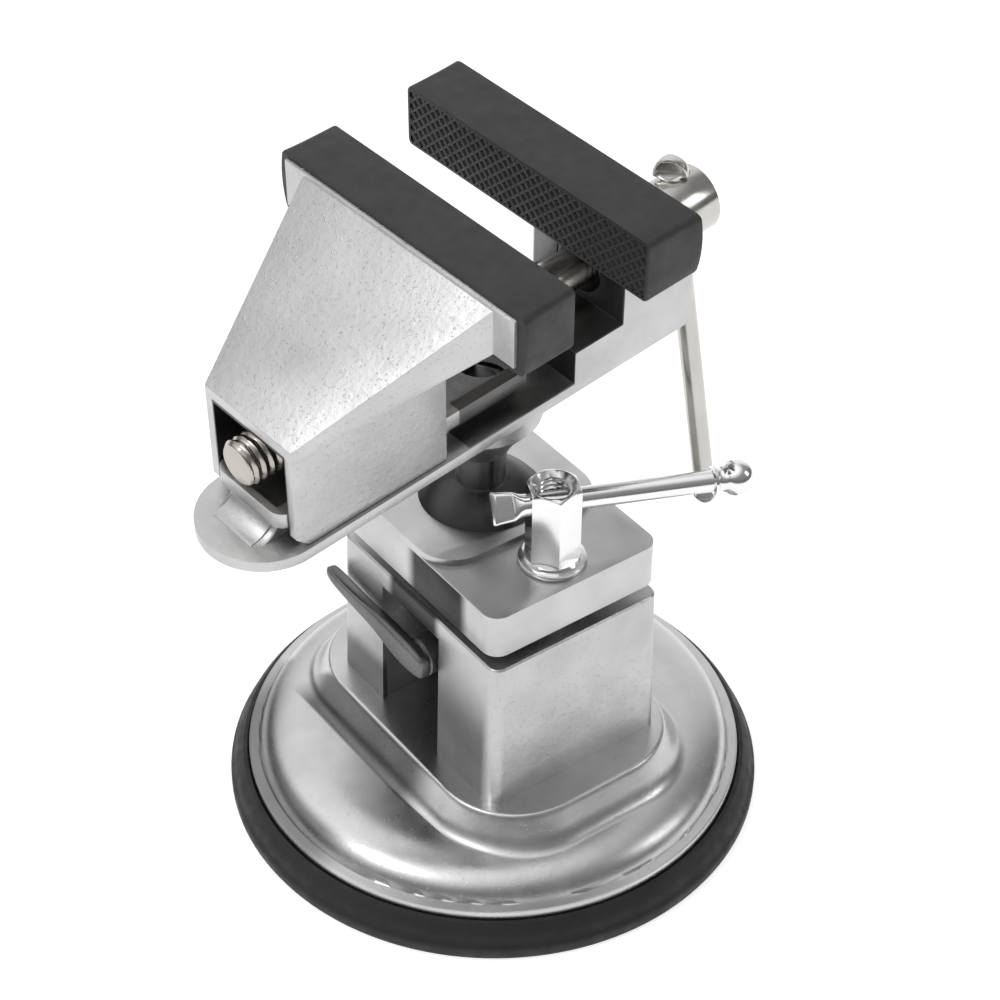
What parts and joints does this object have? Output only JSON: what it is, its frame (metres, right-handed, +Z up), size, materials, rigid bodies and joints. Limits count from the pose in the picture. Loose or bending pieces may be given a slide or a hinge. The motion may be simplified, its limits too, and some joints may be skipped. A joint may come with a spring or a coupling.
{
  "type": "suction base vise",
  "caption": "Small bench vise with soft jaw caps on a swivelling ball head, held on a smooth surface by a lever-worked suction base.",
  "frame": {"origin": "centre of the suction pad's flat face, on the surface the vise stands on", "axes": "+Z up, +X away from the suction lever's side, -Y towards the side with the lock nut"},
  "size_m": [0.1421, 0.1294, 0.1739],
  "materials": {
    "rubber": "matt black rubber",
    "cap_rubber": "matt dark grey rubber, knurled on the gripping face",
    "cast": "satin cast aluminium, machined on the flat faces",
    "dark_steel": "dark oiled steel",
    "steel": "turned steel",
    "nickel": "satin nickel plate",
    "lever_cast": "dull grey casting",
    "brass": "machined brass"
  },
  "bodies": {
    "base": {"suction_pad": "rubber", "base_dome": "cast", "pivot_housing": "cast", "front_screw": "dark_steel", "back_screw": "dark_steel", "clamp_stud": "steel"},
    "seat_ring": {"ball_seat": "steel"},
    "ball": {"swivel_ball": "dark_steel", "stem_nut": "dark_steel"},
    "head": {"bed": "cast", "fixed_jaw_cap": "cap_rubber"},
    "jaw": {"moving_jaw": "cast", "moving_jaw_cap": "cap_rubber", "jaw_nut": "brass"},
    "screw": {"lead_screw": "nickel", "screw_head": "nickel", "thrust_washer": "steel", "screw_clip": "dark_steel"},
    "bar": {"tommy_bar": "nickel"},
    "plate": {"clamp_plate": "cast", "nut_washer": "nickel"},
    "nut": {"lock_nut": "nickel"},
    "handle": {"lock_handle": "nickel", "handle_knob": "nickel"},
    "lever": {"suction_lever": "lever_cast", "crank_pin": "steel"},
    "puller": {"suction_stud": "steel", "stud_foot": "steel"}
  },
  "joints": [
    {"name": "seat_yaw", "type": "hinge", "parent": "base", "child": "seat_ring", "pos_m": [0, 0.0055, 0.0721], "axis": [0, 0, 1], "range_deg": [-12, 90]},
    {"name": "ball_tilt", "type": "hinge", "parent": "seat_ring", "child": "ball", "pos_m": [0, 0.0055, 0.0721], "axis": [0.7821, -0.6231, 0], "range_deg": [-20, 6]},
    {"name": "head_spin", "type": "hinge", "parent": "ball", "child": "head", "pos_m": [0, 0.0055, 0.0721], "axis": [-0.0602, -0.0757, 0.9953], "range_deg": [-10, 60]},
    {"name": "jaw_slide", "type": "slide", "parent": "head", "child": "jaw", "axis": [0.9921, 0.1052, 0.068], "range_m": [-0.025, 0.0195]},
    {"name": "screw_turn", "type": "hinge", "parent": "head", "child": "screw", "pos_m": [-0.00371, 0.00083, 0.13351], "axis": [0.9921, 0.1052, 0.068], "range_deg": [-4500, 3510]},
    {"name": "bar_slide", "type": "slide", "parent": "screw", "child": "bar", "axis": [-0.0816, 0.1304, 0.9881], "range_m": [0, 0.066]},
    {"name": "plate_lift", "type": "slide", "parent": "base", "child": "plate", "axis": [0, 0, 1], "range_m": [0, 0.00021]},
    {"name": "nut_turn", "type": "hinge", "parent": "plate", "child": "nut", "pos_m": [0, -0.0213, 0.0901], "axis": [0, 0, 1], "range_deg": [0, 62]},
    {"name": "handle_slide", "type": "slide", "parent": "nut", "child": "handle", "axis": [0.9135, -0.4067, 0], "range_m": [-0.027, 0]},
    {"name": "lever_turn", "type": "hinge", "parent": "base", "child": "lever", "pos_m": [0, -0.0044, 0.051], "axis": [1, 0, 0], "range_deg": [0, 180]},
    {"name": "puller_lift", "type": "slide", "parent": "base", "child": "puller", "axis": [0, 0, 1], "range_m": [0, 0.0025]}
  ],
  "couplings": [
    {"joint": "screw_turn", "follows": "jaw_slide", "rad_per_m": 3141.6},
    {"joint": "nut_turn", "follows": "plate_lift", "rad_per_m": 5026.5},
    {"joint": "lever_turn", "follows": "puller_lift", "rad_per_m": 1256.6}
  ]
}
